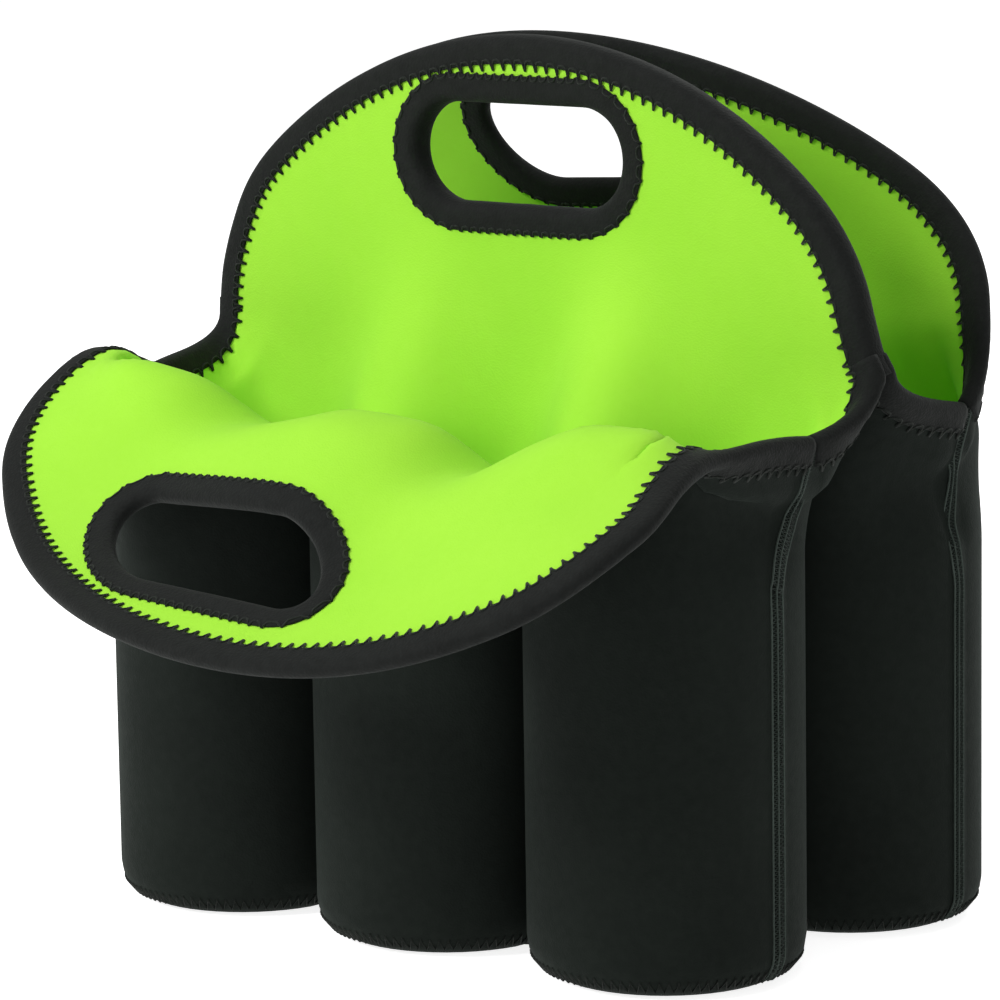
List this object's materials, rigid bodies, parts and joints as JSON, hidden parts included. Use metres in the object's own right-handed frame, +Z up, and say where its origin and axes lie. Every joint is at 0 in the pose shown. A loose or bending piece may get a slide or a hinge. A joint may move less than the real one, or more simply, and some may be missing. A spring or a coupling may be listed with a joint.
{
  "type": "six pack carrier",
  "caption": "Soft neoprene bottle carrier: two rows of round pockets under folding petals with bound hand holes.",
  "frame": {"origin": "on the floor, in the middle between the two rows of pockets", "axes": "+X along the rows to the right, +Y from the folded-out front petal to the back, +Z up"},
  "size_m": [0.2395, 0.2333, 0.2403],
  "materials": {
    "black_neoprene": "matt black-green jersey face on neoprene foam",
    "lime_jersey": "matt lime jersey face",
    "edge_tape": "black knitted edge tape"
  },
  "bodies": {
    "carrier": {"front_outer_shell": "black_neoprene", "front_outer_lining": "lime_jersey", "front_inner_shell": "black_neoprene", "front_inner_lining": "lime_jersey", "rear_inner_shell": "black_neoprene", "rear_inner_lining": "lime_jersey", "rear_outer_shell": "black_neoprene", "rear_outer_lining": "lime_jersey", "front_left_base": "black_neoprene", "front_centre_base": "black_neoprene", "front_right_base": "black_neoprene", "rear_left_base": "black_neoprene", "rear_centre_base": "black_neoprene", "rear_right_base": "black_neoprene", "front_base_linings": "lime_jersey", "rear_base_linings": "lime_jersey", "front_fold_shell": "black_neoprene", "front_fold_lining": "lime_jersey", "middle_front_fold_shell": "black_neoprene", "middle_front_fold_lining": "lime_jersey", "middle_rear_fold_shell": "black_neoprene", "middle_rear_fold_lining": "lime_jersey", "rear_fold_shell": "black_neoprene", "rear_fold_lining": "lime_jersey", "front_left_notch_tape": "edge_tape", "front_right_notch_tape": "edge_tape", "rear_left_notch_tape": "edge_tape", "rear_right_notch_tape": "edge_tape"},
    "front_petal": {"front_petal_shell": "black_neoprene", "front_petal_lining": "lime_jersey", "front_edge_tape": "edge_tape", "front_handle_tape": "edge_tape"},
    "middle_petal": {"middle_petal_front_shell": "black_neoprene", "middle_petal_front_lining": "lime_jersey", "middle_petal_rear_shell": "black_neoprene", "middle_petal_rear_lining": "lime_jersey", "middle_edge_tape": "edge_tape", "middle_handle_tape": "edge_tape"},
    "rear_petal": {"rear_petal_shell": "black_neoprene", "rear_petal_lining": "lime_jersey", "rear_edge_tape": "edge_tape", "rear_handle_tape": "edge_tape"}
  },
  "joints": [
    {"name": "front_petal_fold", "type": "hinge", "parent": "carrier", "child": "front_petal", "pos_m": [0, -0.0776, 0.1475], "axis": [-0.995, 0.032, 0.095], "range_deg": [-30, 150], "deforming": ["front_fold_shell", "front_fold_lining", "front_left_notch_tape", "front_right_notch_tape"]},
    {"name": "middle_petal_bend", "type": "hinge", "parent": "carrier", "child": "middle_petal", "pos_m": [0, 0, 0.147], "axis": [1, 0, 0], "range_deg": [-8, 8], "stiffness_Nm_per_rad": 0.15, "deforming": ["middle_front_fold_shell", "middle_front_fold_lining", "middle_rear_fold_shell", "middle_rear_fold_lining"]},
    {"name": "rear_petal_fold", "type": "hinge", "parent": "carrier", "child": "rear_petal", "pos_m": [0, 0.075, 0.146], "axis": [-1, 0, 0], "range_deg": [-5, 150], "deforming": ["rear_fold_shell", "rear_fold_lining", "rear_left_notch_tape", "rear_right_notch_tape"]}
  ]
}
